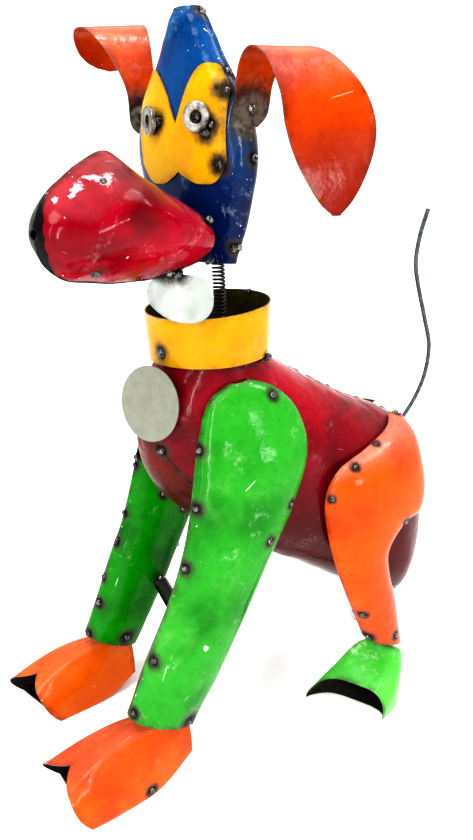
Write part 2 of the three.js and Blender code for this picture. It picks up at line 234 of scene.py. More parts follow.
def sheet(name, at, nu, nv, paint, body, slot, relief=None, ring=False, thick=THICK,
          outward=None, jag=0.0):
    """Closed sheet of metal on the surface at(u, v): outside, inside and cut rim."""
    front, back = paint
    u, v = np.meshgrid(np.linspace(0, 1, nu + 1), np.linspace(0, 1, nv + 1), indexing="ij")
    p = at(u, v)
    n = grid_normals(p, ring)
    away = (p - p.reshape(-1, 3).mean(0)) if outward is None else np.array(outward, float)
    if np.sum(n * away) < 0:
        n = -n
        flip = True
    else:
        flip = False
    if jag:
        edge_noise = noise(p, 7, 9.0)[..., None] * jag
        reach = np.exp(-path_to_edge(p, 1) / 4)[..., None]
        p = p + edge_noise * reach * unit(np.gradient(p, axis=1))
    if relief:
        p = p + n * relief(p)[..., None]
        n = grid_normals(p, ring) * (-1 if flip else 1)
    cols = nu if ring else nu + 1
    near = path_to_edge(p, 1)
    if not ring:
        near = np.minimum(near, path_to_edge(p, 0))
    mid = p[:cols]
    outer = mid + n[:cols] * thick / 2
    inner = mid - n[:cols] * thick / 2
    verts = np.concatenate([outer.reshape(-1, 3), inner.reshape(-1, 3)])
    half = cols * (nv + 1)
    faces, which, smooth = [], [], []

    def quad(a, b, c, d, kind, soft):
        faces.append((a, b, c, d) if not flip else (d, c, b, a))
        which.append(kind)
        smooth.append(soft)

    def at_id(i, j, side):
        return (i % cols) * (nv + 1) + j + side * half

    for i in range(nu):
        for j in range(nv):
            quad(at_id(i, j, 0), at_id(i + 1, j, 0), at_id(i + 1, j + 1, 0),
                 at_id(i, j + 1, 0), 0, True)
            quad(at_id(i, j, 1), at_id(i, j + 1, 1), at_id(i + 1, j + 1, 1),
                 at_id(i + 1, j, 1), 1, True)
        quad(at_id(i, 0, 0), at_id(i, 0, 1), at_id(i + 1, 0, 1), at_id(i + 1, 0, 0), 2, False)
        quad(at_id(i, nv, 0), at_id(i + 1, nv, 0), at_id(i + 1, nv, 1), at_id(i, nv, 1),
             2, False)
    if not ring:
        for j in range(nv):
            quad(at_id(0, j, 0), at_id(0, j + 1, 0), at_id(0, j + 1, 1), at_id(0, j, 1),
                 2, False)
            quad(at_id(nu, j, 0), at_id(nu, j, 1), at_id(nu, j + 1, 1), at_id(nu, j + 1, 0),
                 2, False)
    edge = np.clip(near[:cols], 0, 40).reshape(-1)
    burn = burnt(mid).reshape(-1)
    bared = burnt(mid, BARED).reshape(-1)
    piece = make(name, verts, faces, [front, back, front], which, smooth,
                 {"edge": np.tile(edge, 2), "burn": np.tile(burn, 2),
                  "bared": np.tile(bared, 2)})
    piece.data.set_sharp_from_angle(angle=math.radians(50))
    return own(piece, body, slot, name)


def tube(name, points, radii, around, paint, body, slot, nodes, seed=0.0, rough=0.0):
    """Round bar along points with its own radius at each, ends closed."""
    pts = np.array(points, float)
    radii = np.broadcast_to(np.asarray(radii, float), len(pts))
    along = unit(np.gradient(pts, axis=0))
    side = unit(np.cross(along[0], [0.31, 0.2, 0.93]))
    verts = []
    for k, centre in enumerate(pts):
        side = unit(side - along[k] * np.dot(side, along[k]))
        up = np.cross(along[k], side)
        for j in range(around):
            a = TAU * j / around
            verts.append(centre + radii[k] * (math.cos(a) * side + math.sin(a) * up))
    verts = np.array(verts)
    if rough:
        centres = np.repeat(pts, around, 0)
        verts += unit(verts - centres) * (noise(verts, 5, seed) * rough)[:, None]
    count = len(pts)
    faces = [
        (k * around + j, k * around + (j + 1) % around,
         (k + 1) * around + (j + 1) % around, (k + 1) * around + j)
        for k in range(count - 1) for j in range(around)
    ]
    faces.append(tuple(reversed(range(around))))
    faces.append(tuple((count - 1) * around + j for j in range(around)))
    smooth = [True] * (len(faces) - 2) + [False, False]
    burn = burnt(verts)
    piece = make(name, verts, faces, [paint], [0] * len(faces), smooth,
                 {"edge": np.full(len(verts), 20.0), "burn": burn})
    return own(piece, body, slot, *nodes)


def ball(rings=14, around=24):
    """Unit sphere as a closed grid of points and faces."""
    verts = [(0, 0, 1)]
    for i in range(1, rings):
        t = math.pi * i / rings
        for j in range(around):
            a = TAU * j / around
            verts.append((math.sin(t) * math.cos(a), math.sin(t) * math.sin(a), math.cos(t)))
    verts.append((0, 0, -1))
    faces = [(0, 1 + j, 1 + (j + 1) % around) for j in range(around)]
    for i in range(rings - 2):
        for j in range(around):
            a = 1 + i * around
            faces.append((a + j, a + around + j, a + around + (j + 1) % around,
                          a + (j + 1) % around))
    last = 1 + (rings - 2) * around
    end = len(verts) - 1
    faces += [(end, last + (j + 1) % around, last + j) for j in range(around)]
    return np.array(verts, float), faces


def bead_piece(name, body):
    """All weld beads of one body, each a rippled tack with a smaller lump on its side."""
    shape, faces = ball()
    verts, polys = [], []
    for k, (place, size) in enumerate(BEADS[body]):
        turn = np.array([math.sin(5.1 * k), math.cos(3.7 * k), math.sin(2.2 * k)])
        beside = place + unit(turn) * size * 0.75
        for centre, radius in ((place, size), (beside, size * 0.6)):
            ripple = 1 + 0.13 * noise(shape * 10 + centre, 7, k) + 0.04 * noise(
                shape * 10 + centre, 3, k + 3)
            start = sum(len(v) for v in verts)
            verts.append(centre + shape * radius * ripple[:, None])
            polys += [tuple(start + i for i in f) for f in faces]
    verts = np.concatenate(verts)
    piece = make(name, verts, polys, [WELD], [0] * len(polys), [True] * len(polys))
    return own(piece, body, "steel")


# ---- node materials ----------------------------------------------------------------------
def rgb(code, level=1.0):
    """Linear colour of a screen colour written as RRGGBB."""
    parts = [int(code[i:i + 2], 16) / 255 for i in (0, 2, 4)]
    linear = [c / 12.92 if c < 0.04045 else ((c + 0.055) / 1.055) ** 2.4 for c in parts]
    return (*(c * level for c in linear), 1.0)


class Graph:
    """A node material under construction, its patterns fixed to the piece."""

    def __init__(self, name):
        self.material = bpy.data.materials.new(name)
        self.material.use_nodes = True
        self.tree = self.material.node_tree
        self.tree.nodes.clear()
        where = self.add("ShaderNodeTexCoord")
        self.place, self.normal = where.outputs["Object"], where.outputs["Normal"]

    def add(self, kind, inputs=(), **settings):
        made = self.tree.nodes.new(kind)
        for key, value in settings.items():
            setattr(made, key, value)
        for key, value in dict(inputs).items():
            self.put(made.inputs[key], value)
        return made

    def put(self, socket, value):
        if isinstance(value, bpy.types.NodeSocket):
            self.tree.links.new(value, socket)
        else:
            socket.default_value = value

    def calc(self, operation, a, b=0.0, clamp=False):
        made = self.add("ShaderNodeMath", {0: a, 1: b}, operation=operation, use_clamp=clamp)
        return made.outputs[0]

    def moved(self, scale=(1, 1, 1), turn=(0, 0, 0), by=(0, 0, 0)):
        made = self.add("ShaderNodeMapping", {
            "Vector": self.place, "Scale": scale, "Rotation": turn, "Location": by})
        return made.outputs[0]

    def noise(self, scale, detail=3.0, rough=0.5, place=None, twist=0.0):
        made = self.add("ShaderNodeTexNoise", {
            "Vector": place or self.place, "Scale": scale, "Detail": detail,
            "Roughness": rough, "Distortion": twist})
        return made.outputs[0]

    def mask(self, value, low, high):
        made = self.add("ShaderNodeMapRange", {
            "Value": value, "From Min": low, "From Max": high},
            interpolation_type="SMOOTHSTEP")
        return made.outputs[0]

    def mix(self, amount, a, b):
        made = self.add("ShaderNodeMix", {0: amount, 6: a, 7: b}, data_type="RGBA")
        return made.outputs[2]

    def blend(self, amount, a, b):
        made = self.add("ShaderNodeMix", {0: amount, 2: a, 3: b}, data_type="FLOAT")
        return made.outputs[0]

    def attribute(self, name):
        return self.add("ShaderNodeAttribute", attribute_name=name).outputs["Fac"]

    def finish(self, colour, rough, metal, height, depth, specular=0.5, strength=1.0):
        relief = self.add("ShaderNodeBump", {
            "Strength": strength, "Distance": depth, "Height": height})
        shader = self.add("ShaderNodeBsdfPrincipled", {
            "Base Color": colour, "Roughness": rough, "Metallic": metal,
            "Normal": relief.outputs[0], "Specular IOR Level": specular})
        out = self.add("ShaderNodeOutputMaterial", {"Surface": shader.outputs[0]})
        return self.material


def enamel(name, base, deep, pale, rough=0.24, chips=0.35, scratches=0.4, grime=0.5,
           primer="d9d5cb", scuff=0.3, level=0.6, shade_below=None, sheen_amount=0.04):
    """Old gloss paint: mottled colour, painted shade low down, painted sheen on upward faces,
    scratches, chips, worn rims, weld burns and soot.
    """
    g = Graph(name)
    base, deep, pale = rgb(base, level), rgb(deep, level), rgb(pale, level)
    colour = g.mix(g.mask(g.noise(11, 4, 0.55, twist=0.4), 0.36, 0.7), base, deep)
    cloud = g.mask(g.noise(23, 5, 0.62, g.moved(by=(3.1, 1.7, 0.4))), 0.5, 0.78)
    colour = g.mix(g.calc("MULTIPLY", cloud, 0.5), colour, pale)
    # painted shade: the colour darkens towards the bottom of the piece, standing in for the shade
    # low down
    if shade_below:
        height = g.add("ShaderNodeSeparateXYZ", {0: g.place}).outputs[2]
        colour = g.mix(g.mask(height, *shade_below), colour, deep)
    fine = g.mask(g.noise(150, 5, 0.75), 0.44, 0.74)
    colour = g.mix(g.calc("MULTIPLY", fine, 0.4), colour, deep)

    # painted sheen: upward-facing paint is mixed towards a pale colour, standing in for the
    # reflection of the bright overhead light
    upward = g.add("ShaderNodeSeparateXYZ", {0: g.normal}).outputs[2]
    painted_sheen = g.calc("MULTIPLY", g.mask(upward, 0.3, 0.95), g.blend(fine, sheen_amount, sheen_amount * 0.6))
    colour = g.mix(painted_sheen, colour, rgb("ece4dc"))

    # dull scuffed patches
    rub = g.mask(g.noise(17, 6, 0.7, g.moved(by=(0.2, 5.1, 2.6)), 0.8), 0.56, 0.7)
    rub = g.calc("MULTIPLY", rub, g.mask(g.noise(230, 3, 0.6), 0.42, 0.62))
    rub = g.calc("MULTIPLY", rub, scuff)
    colour = g.mix(rub, colour, rgb(primer))

    # thin scratches in two directions
    lines = None
    for turn, shift, size in (((0.4, 0.9, 0.3), 1.3, 1.0), ((1.2, 0.2, 1.9), 4.7, 1.4)):
        stretched = g.moved((900 * size, 22, 22), turn, (shift, shift, shift))
        streak = g.mask(g.noise(1.0, 2, 0.5, stretched), 0.735, 0.76)
        where = g.mask(g.noise(14, 3, 0.5, g.moved(by=(shift * 2, 0.7, 3.3))), 0.48, 0.6)
        streak = g.calc("MULTIPLY", streak, where)
        lines = streak if lines is None else g.calc("MAXIMUM", lines, streak)
    lines = g.calc("MULTIPLY", lines, scratches)
    colour = g.mix(lines, colour, rgb(primer))

    # chips down to primer, most of them near rims
    edge = g.attribute("edge")
    rim = g.mask(edge, 16.0, 1.0)
    dots = g.noise(260, 2, 0.6, g.moved(by=(7.7, 0.3, 1.9)))
    limit = g.blend(rim, 0.80 - 0.05 * chips, 0.72 - 0.06 * chips)
    chip = g.mask(g.calc("SUBTRACT", dots, limit), 0.0, 0.02)
    chip = g.calc("MULTIPLY", chip, min(1.0, chips * 2))
    colour = g.mix(chip, colour, rgb(primer))

    # soft dirt towards the rims
    dirt = g.calc("MULTIPLY", g.mask(edge, 9.0, 0.0), g.mask(g.noise(60, 4, 0.6), 0.35, 0.7))
    dirt = g.calc("MULTIPLY", dirt, grime)
    colour = g.mix(dirt, colour, rgb("2a1c12"))

    # bare worn rim
    ragged = g.calc("ADD", edge, g.calc("MULTIPLY", g.noise(70, 4, 0.6), -3.4))
    worn = g.calc("MULTIPLY", g.mask(ragged, -1.3, -2.1), 0.85)
    colour = g.mix(worn, colour, rgb("5d564c"))

    # weld burn: grey-brown ring, then soot and blued steel
    burn = g.attribute("burn")
    crackle = g.calc("MULTIPLY", g.calc("SUBTRACT", g.noise(210, 5, 0.7), 0.5), 0.75)
    heat = g.calc("ADD", burn, crackle)
    heat = g.calc("MULTIPLY", heat, g.mask(burn, 0.02, 0.2))
    ring = g.calc("MULTIPLY", g.mask(heat, 0.08, 0.55), 0.7)
    colour = g.mix(ring, colour, rgb("3b332b"))
    soot = g.calc("MULTIPLY", g.mask(heat, 0.42, 0.8), 0.9)
    colour = g.mix(soot, colour, rgb("151210"))
    bared = g.mask(g.calc("ADD", g.attribute("bared"), g.calc("MULTIPLY", crackle, 0.4)),
                   0.35, 0.6)
    colour = g.mix(bared, colour, g.mix(g.mask(g.noise(150, 4, 0.6), 0.35, 0.7),
                                        rgb("6f665a"), rgb("3a332c")))

    matt = g.calc("MAXIMUM", g.calc("MAXIMUM", soot, lines), g.calc("MAXIMUM", rub, chip))
    smear = g.mask(g.noise(46, 5, 0.65, g.moved(by=(2.2, 2.9, 9.1))), 0.4, 0.75)
    shine = g.calc("ADD", rough, g.calc("MULTIPLY", smear, 0.16))
    shine = g.blend(g.calc("MULTIPLY", matt, 0.8), shine, 0.6)
    metal = g.calc("MULTIPLY", g.calc("MAXIMUM", worn, soot), 0.55)

    peel = g.calc("MULTIPLY", g.noise(420, 2, 0.5), 0.10)
    wave = g.calc("MULTIPLY", g.noise(75, 2, 0.45), 1.0)
    height = g.calc("ADD", peel, wave)
    height = g.calc("SUBTRACT", height, g.calc("MULTIPLY", matt, 0.18))
    return g.finish(colour, shine, metal, height, 0.0007, 0.13, 0.7)


def bare(name, base, deep, rough=0.35, metal=0.85, scale=120, rust=0.0):
    """Bare steel with mill scale, scratches and a little rust."""
    g = Graph(name)
    base, deep = rgb(base), rgb(deep)
    colour = g.mix(g.mask(g.noise(scale, 5, 0.65), 0.35, 0.7), base, deep)
    fine = g.mask(g.noise(1.0, 3, 0.6, g.moved((700, 60, 60), (0.3, 0.5, 0.8))), 0.5, 0.7)
    colour = g.mix(g.calc("MULTIPLY", fine, 0.35), colour, deep)
    if rust:
        stain = g.mask(g.noise(scale * 0.5, 5, 0.7, g.moved(by=(3, 1, 5))), 0.5, 0.72)
        colour = g.mix(g.calc("MULTIPLY", stain, rust), colour, rgb("5a2f16"))
    burn = g.attribute("burn")
    heat = g.calc("ADD", burn, g.calc("MULTIPLY", g.calc(
        "SUBTRACT", g.noise(260, 4, 0.7), 0.5), 0.5))
    soot = g.mask(heat, 0.3, 0.62)
    colour = g.mix(soot, colour, rgb("171412"))
    shine = g.calc("ADD", rough, g.calc("MULTIPLY", g.noise(scale * 2, 4, 0.6), 0.22))
    return g.finish(colour, shine, metal, g.noise(scale * 3, 4, 0.6), 0.0004, strength=0.5)


def weld_metal():
    """Arc weld: rippled dark steel with blue and straw heat tints."""
    g = Graph("weld_metal")
    tint = g.mask(g.noise(160, 3, 0.5), 0.4, 0.65)
    colour = g.mix(tint, rgb("3c3b3f"), rgb("77736c"))
    blue = g.mask(g.noise(230, 2, 0.5, g.moved(by=(4, 4, 1))), 0.55, 0.7)
    colour = g.mix(g.calc("MULTIPLY", blue, 0.5), colour, rgb("2c3a55"))
    shine = g.calc("ADD", 0.16, g.calc("MULTIPLY", g.noise(300, 3, 0.6), 0.22))
    height = g.noise(500, 2, 0.5)
    return g.finish(colour, shine, 0.9, height, 0.0004, strength=0.5)


def backing(name, base, deep, rough=0.6):
    """Unpolished inner face of a painted sheet: thin overspray, rust and soot; inside the collar,
    feet and muzzle its dark base is painted shade.
    """
    g = Graph(name)
    colour = g.mix(g.mask(g.noise(26, 5, 0.6), 0.35, 0.7), rgb(base), rgb(deep))
    speck = g.mask(g.noise(330, 3, 0.6), 0.58, 0.7)
    colour = g.mix(g.calc("MULTIPLY", speck, 0.4), colour, rgb("5b4630"))
    shine = g.calc("ADD", rough, g.calc("MULTIPLY", g.noise(80, 3, 0.5), 0.2))
    return g.finish(colour, shine, 0.15, g.noise(210, 4, 0.6), 0.0005, 0.15, 0.5)


DARK_INSIDE = backing("dark_inside", "231a13", "0c0a09")
# painted shade: dark olive inside the collar is its yellow seen in shade
SHADED_COLLAR_INSIDE = backing("shaded_collar_inside", "45400f", "1d1a08", 0.5)
# painted shade: near-black inside the feet and muzzle stands in for the shade in these hollows
SHADE_BLACK_INSIDE = backing("shade_black_inside", "121110", "070707")
# painted shade: the torso maroon darkens towards the bottom
MAROON = enamel("maroon_enamel", "b40a2a", "5a020c", "cc3c58", 0.1, 0.3, 0.4, 1.0,
                scuff=0.06, shade_below=(0.43, 0.24))
BELLY = enamel("belly_enamel", "7c1a08", "4a0c04", "96300f", 0.26, 0.3, 0.4, 0.9, scuff=0.1)
YELLOW = enamel("yellow_enamel", "f2b802", "de9a02", "f4c418", 0.1, 0.15, 0.15, 0.4,
                scuff=0.08)
GREEN = enamel("green_enamel", "3cbc34", "148a14", "82d266", 0.12, 0.4, 0.6, 0.8, scuff=0.22,
               level=0.5)
# painted shade: a darker copy of the green for the inner foreleg sheets, standing in for the shade
# they sit in
SHADE_GREEN = enamel("shaded_green_enamel", "10960c", "055c03", "2fae20", 0.14, 0.4, 0.6, 0.8,
                     scuff=0.2)
PALE_GREEN = enamel("pale_green_enamel", "6cd458", "36b02c", "c8f0b0", 0.18, 0.4, 0.6, 0.7,
                    scuff=0.3)
ORANGE = enamel("orange_enamel", "f26c04", "dc4a01", "f88826", 0.12, 0.12, 0.25, 0.6,
                scuff=0.08)
# painted sheen: a copy of the orange for the haunches, with a stronger pale sheen on upward faces
THIGH_ORANGE = enamel("thigh_orange_enamel", "f06404", "dc4801", "f88826", 0.12, 0.12, 0.25,
                      0.6, scuff=0.08, level=0.56, sheen_amount=0.13)
# painted shade and sheen: the ear orange darkens towards the bottom and pales on upward faces
EAR_ORANGE = enamel("ear_orange_enamel", "e85604", "a02000", "f07a2c", 0.14, 0.1, 0.3, 0.5,
                    scuff=0.06, shade_below=(0.69, 0.6), level=0.54,
                    sheen_amount=0.1)
# painted shade: the head blue darkens towards the bottom
BLUE = enamel("blue_enamel", "1060a2", "012257", "58a4cc", 0.07, 1.0, 1.0, 0.5,
              primer="d4dfe8", scuff=0.35, shade_below=(0.72, 0.58))
RED = enamel("red_enamel", "bc022c", "720212", "cc1c4c", 0.05, 0.6, 0.6, 0.8,
             primer="f0e4e0", scuff=0.1)
WHITE = enamel("white_enamel", "e2eae2", "c6cfc7", "f2f6f0", 0.1, 0.1, 0.2, 0.35,
               primer="8a8a80", scuff=0.1)
SATIN_BLACK = enamel("black_enamel", "08080a", "040404", "141414", 0.24, 0.2, 0.4, 0.2,
                     primer="6a6660", scuff=0.2)
GREY_STEEL = bare("grey_steel", "7c7d70", "727367", 0.45, 0.3, 90)
BRIGHT_STEEL = bare("bright_steel", "a3a09a", "5c5750", 0.26, 0.95, 150, rust=0.15)
ROD_STEEL = bare("rod_steel", "5b5e60", "33363a", 0.35, 0.9, 260)
SPRING_STEEL = bare("spring_steel", "46464a", "1c1c1e", 0.3, 0.9, 300)
WELD = weld_metal()

# ---- torso ---------------------------------------------------------------------------------
BACK = [
    (0, 89, 451), (0, 132, 422), (0, 174, 399), (0, 217, 378), (0, 256, 360),
    (0, 284, 336), (0, 300, 298), (0, 305, 250), (0, 298, 202), (0, 281, 160), (0, 264, 136),
]
BELLY_LINE = [
    (0, -20, 458), (0, -44, 410), (0, -48, 365), (0, -34, 318), (0, 3, 279),
    (0, 55, 240), (0, 106, 204), (0, 155, 172), (0, 202, 142), (0, 238, 127), (0, 256, 123),
]
GIRTH = [55, 61, 66, 70, 74, 78, 80, 78, 72, 58, 30]
CHEST_TOP = 0.12
chest_line = through([[x] for x in (1, .96, .83, .766, .76, .82, .88, .9, .9, .9, .9)])
torso_at = hoop(BACK, BELLY_LINE, GIRTH, X)
girth_at = through([[g] for g in GIRTH])

# ---- legs: edge lines shared by the sheets and their welds ------------------------------------
FORELEG_FRONT = [
    (61, 26, 439), (61, 4, 424), (63, -7, 392), (69, -16, 352), (74, -25, 305),
    (76, -40, 248), (75, -62, 190), (74, -82, 138), (73, -98, 98),
]
FORELEG_REAR = [
    (61, 44, 441), (61, 74, 429), (66, 98, 400), (77, 102, 360), (78, 86, 305),
    (76, 60, 250), (75, 35, 190), (74, 8, 130), (73, -25, 68),
]
FORELEG_SWELL = [(4, 1), (12, 1), (18, 1), (21, 3), (23, 8), (25, 15), (25, 18), (24, 20), (22, 20)]
FAR_SHIFT = (-9, -18)     # how far the right foreleg's two edges stand further forward
HAUNCH_FRONT = [
    (24, 246, 365), (52, 222, 358), (70, 180, 346), (77, 144, 332), (80, 128, 306),
    (80, 132, 266), (86, 143, 218), (86, 159, 178), (84, 176, 141), (82, 191, 106),
]
HAUNCH_REAR = [
    (24, 264, 360), (46, 266, 344), (58, 270, 316), (68, 270, 288), (76, 260, 262),
    (82, 234, 254), (83, 214, 226), (83, 217, 190), (82, 230, 148), (82, 246, 84),
]
HAUNCH_SWELL = [
    (2, 2), (10, 2), (17, 2), (20, 2), (21, 2), (19, 4), (18, 10), (19, 19), (19, 19), (18, 18),
]
FAR_STRIDE = 144    # the right hind foot stands this much further back


def foreleg_lines(sign, shift):
    def place(points, by):
        return [(sign * x, y + by * min((445 - z) / 60, 1) * (1 + 0.3 * (445 - z) / 380), z)
                for x, y, z in points]
    return place(FORELEG_FRONT, shift[0]), place(FORELEG_REAR, shift[1])


def haunch_lines(sign):
    stride = 0 if sign > 0 else FAR_STRIDE

    def place(points):
        return [(sign * x, y + stride * min(max((330 - z) / 240, 0), 1) ** 1.5, z)
                for x, y, z in points]
    return place(HAUNCH_FRONT), place(HAUNCH_REAR)


# ---- head frame ----------------------------------------------------------------------------------
YAW = math.radians(25)
HEAD_AT = np.array([0.0, 42.0, 545.0])
FORWARD = np.array([math.sin(YAW), -math.cos(YAW), 0.0])
LEFT = np.array([math.cos(YAW), math.sin(YAW), 0.0])


def head(f, l, z):
    return (HEAD_AT + FORWARD * np.asarray(f, float)[..., None]
            + LEFT * np.asarray(l, float)[..., None] + Z * np.asarray(z, float)[..., None])


# Height, half width, forward set of the side seam, front swell, rear swell.
SKULL = [
    (2, 40, 22, 12, 12), (30, 51, 25, 15, 18), (60, 61, 28, 18, 24), (85, 67, 30, 20, 28),
    (110, 66, 32, 20, 30), (135, 56, 33, 18, 28), (161, 38, 34, 16, 24), (182, 26, 34, 15, 18),
    (196, 19, 35, 12, 12), (204, 13, 36, 8, 8),
]
skull_line = through([row[1:] for row in SKULL])


def skull_row(z):
    return skull_line(np.interp(z, [row[0] for row in SKULL], np.linspace(0, 1, len(SKULL))))


def skull(z, angle, lift=0.0):
    w, set_back, front, rear = np.moveaxis(skull_row(z), -1, 0)
    swell = np.where(np.sin(angle) >= 0, front, rear)
    return head(set_back + (swell + lift) * np.sin(angle), (w + lift) * np.cos(angle), z)


KEEL_TOP = [
    (58, 59), (82, 69), (108, 82), (132, 94.5), (156, 85), (178, 73), (194, 58), (202, 41),
]
KEEL_LOW = [
    (56, -4), (80, -6.5), (106, -6.5), (132, -5.5), (158, -2), (180, 4), (196, 16), (202, 32),
]
MUZZLE_SWELL = [(46, 42), (50, 46), (50, 46), (47, 43), (41, 36), (31, 27), (18, 15), (5, 4)]


def muzzle_body():
    def lift(line):
        return [tuple(head(f, 0, z)) for f, z in line]
    return hoop(lift(KEEL_TOP), lift(KEEL_LOW), MUZZLE_SWELL, LEFT, 1.0, 0.8)


# ---- all welds, before the sheets that they burn -------------------------------------------------
# Height, share of the way from the front edge to the rear edge, burn and bead size.
NEAR_FORELEG_WELDS = [
    (380, 0.05, 9, 3.6), (325, 0.1, 9, 3.4), (265, 0.1, 9, 3.6), (165, 0.1, 10, 3.6),
    (105, 0.1, 9, 3.6), (80, 0.7, 14, 4.0), (315, 0.8, 7, 3.2), (280, 0.7, 8, 3.6),
    (425, 0.75, 8, 3.6),
]
FAR_FORELEG_WELDS = [
    (310, 0, 7, 3.2), (270, 0.45, 8, 3.2), (215, 0.05, 8, 3.4), (140, 0.1, 9, 3.6),
    (100, 0.1, 9, 3.6), (90, 0.6, 12, 3.8), (245, 0.7, 7, 3.2),
]
HAUNCH_WELDS = [
    (350, 0.1, 6, 3.0), (335, 0.15, 7, 3.0), (305, 0.1, 6, 3.2), (150, 0.2, 8, 3.4),
    (110, 0.15, 11, 3.8), (105, 0.65, 9, 3.0), (258, 0.8, 8, 3.2), (365, 0.5, 7, 3.2),
]
COLLAR_RADIUS = 60


def weld_leg(lines, swell, sign, rows, inner=False):
    leg = hoop(*lines, swell, X * sign)
    for height, share, burn, size in rows:
        angle = math.pi * (2 - share if inner else share)
        place, = at_height(lambda t, angle=angle: leg(t, np.full(t.shape, angle)), (height,))
        weld("root", place, burn, size)


def on_skull(height, half_turns, lift=0.0):
    return skull(np.array(float(height)), np.array(math.pi * half_turns), lift)


def on_muzzle(along, down, out=0):
    """Along from the head to the nose, down from the top keel to the low one."""
    return muzzle_body()(np.array(float(along)), np.array(math.pi * down)) + LEFT * out


def on_collar(degrees, height):
    """Degrees from the front towards the dog's left."""
    turn = math.radians(degrees)
    return (COLLAR_RADIUS * math.sin(turn), 30 - COLLAR_RADIUS * math.cos(turn), height)


def place_welds():
    weld_leg(foreleg_lines(1, (0, 0)), FORELEG_SWELL, 1, NEAR_FORELEG_WELDS)
    weld_leg(foreleg_lines(-1, FAR_SHIFT), FORELEG_SWELL, -1, FAR_FORELEG_WELDS, True)
    weld_leg(haunch_lines(1), HAUNCH_SWELL, 1, HAUNCH_WELDS)
    front, rear = (through(line) for line in foreleg_lines(-1, FAR_SHIFT))
    for place in at_height(front, (380, 320, 250, 170)) + at_height(rear, (420, 300, 190)):
        weld("root", place, 8, 3.4)
    front, rear = (through(line) for line in haunch_lines(-1))
    for place in at_height(front, (340, 300, 230, 150)) + at_height(rear, (262, 200, 110)):
        weld("root", place, 8, 3.2)
    BURNS.append((np.array([93.0, 236.0, 256.0]), 7.0))
    for sign in (1, -1):
        weld("root", (sign * 49, -17, 166), 9, 4)
    for sign in (1, -1):
        weld("root", (sign * 32, -35, 370), 9, 4)
    weld("root", on_collar(20, 466), 9, 5.0)
    weld("root", on_collar(202, 508), 7, 3.6)
    weld("root", (-46, 74, 456), 7, 3.6)
    weld("root", (46, 74, 456), 7, 3.6)
    weld("root", (0, 286, 338), 7, 3.4)
    weld("root", (0, 175, 399), 5, 2.6)
    weld("root", (98, -84, 11), 9, 3.4)
    for place, burn, size in (
            (on_skull(200, 0), 7, 3.2), (on_skull(140, 0.15), 10, 3.4),
            (on_skull(110, 0.34, 3), 10, 4.2), (on_skull(115, 0.31, 3), 9, 2.6),
            (on_skull(120, 0.6, 3), 9, 3.6), (on_skull(85, 0.28), 10, 3.8),
            (on_skull(90, 0), 8, 3.4), (on_muzzle(0.03, 0.3, 6), 8, 3.4),
            (on_skull(17, 0.1), 8, 3.4), (on_muzzle(0.57, 0.9), 6, 2.8),
            (on_muzzle(0, 0.8, 10), 8, 3.0), ((50, -17, 542), 9, 3.8),
            ((44, -24, 542), 10, 3.6), ((38, -31, 542), 9, 3.0),
            (on_muzzle(0.55, 0.18), 4, 1.8), ((67, 38, 671), 8, 4.0),
            ((72, 38, 673), 8, 4.4), ((77, 38, 671), 8, 4.0)):
        weld("head", place, burn, size)
    for k in range(5):
        weld("head", (-41 - 4.6 * k, -11 + 0.5 * k, 674 + k % 2), 9, 4.4)
    for height, half_turns in ((17, 1.0), (50, 1.0), (88, 1.0), (17, 0.0), (155, 0.0)):
        weld("head", on_skull(height, half_turns), 8, 3.4)
    BURNS.append((np.array([79.0, 38.0, 668.0]), 23.0))
    BARED.append((np.array([79.0, 39.0, 666.0]), 19.0))
    BARED.append((np.array([-60.0, -9.0, 670.0]), 15.0))
    BURNS.append((np.array([-60.0, -9.0, 676.0]), 22.0))
    BURNS.append((np.array([55.0, 21.0, 686.0]), 8.0))
    for l in (EYE_OUT, -EYE_OUT):
        eye = skull(np.array(EYE_HEIGHT), np.array(math.acos(l / EYE_ROW)), 2.0)
        BURNS.append((eye + LEFT * 2 - Z * 2, 10.0))
        weld("head", eye + FORWARD * 2.5, 8, 3.6)


place_welds()


# ---- body pieces ---------------------------------------------------------------------------------
def torso_relief(p):
    base = hammered(1.0, 1.0)(p)
    # the panels were beaten together along the back, which crumpled them
    ridge = np.exp(-np.abs(p[..., 0]) / 13) * np.clip((p[..., 2] - 300) / 60, 0, 1)
    crumple = noise(p, 9, 4.0) * 1.5 + noise(p, 4.5, 5.0) * 0.5
    shoulder = bump(p, (66, 110, 380), 22, -2.5) + bump(p, (72, 150, 330), 30, -1.8)
    lap = np.exp(-np.abs(p[..., 0]) / 4) * (p[..., 0] > 0) * (0.9 + 0.9 * noise(p, 6, 6.0))
    lap = lap * np.clip((p[..., 2] - 320) / 30, 0, 1)
    return base + ridge * crumple + shoulder + lap


def chest_seam(s):
    """Angle where the side panels meet the chest panel."""
    return np.where(s < CHEST_TOP, 1, np.minimum(chest_line(s)[..., 0], 1)) * math.pi


def torso_panel(name, start, end, nv, paint, slot, jag=0.0, top=0.0):
    def at(u, v):
        s = top + (1 - top) * u
        gap = SEAM / girth_at(s)[..., 0] + 0.002
        return torso_at(s, start(s) + gap + (end(s) - start(s) - 2 * gap) * v)
    return sheet(name, at, 120, nv, (paint, DARK_INSIDE), "root", slot, torso_relief, jag=jag)


def torso():
    torso_panel("torso_left", lambda s: 0 * s, chest_seam, 90, MAROON, "maroon", 1.2)
    torso_panel("torso_right", lambda s: TAU - chest_seam(s), lambda s: TAU + 0 * s, 90,
                MAROON, "maroon", 0.8)
    torso_panel("chest_panel", chest_seam, lambda s: TAU - chest_seam(s), 50, BELLY,
                "belly_red", 0.4, CHEST_TOP + 0.008)


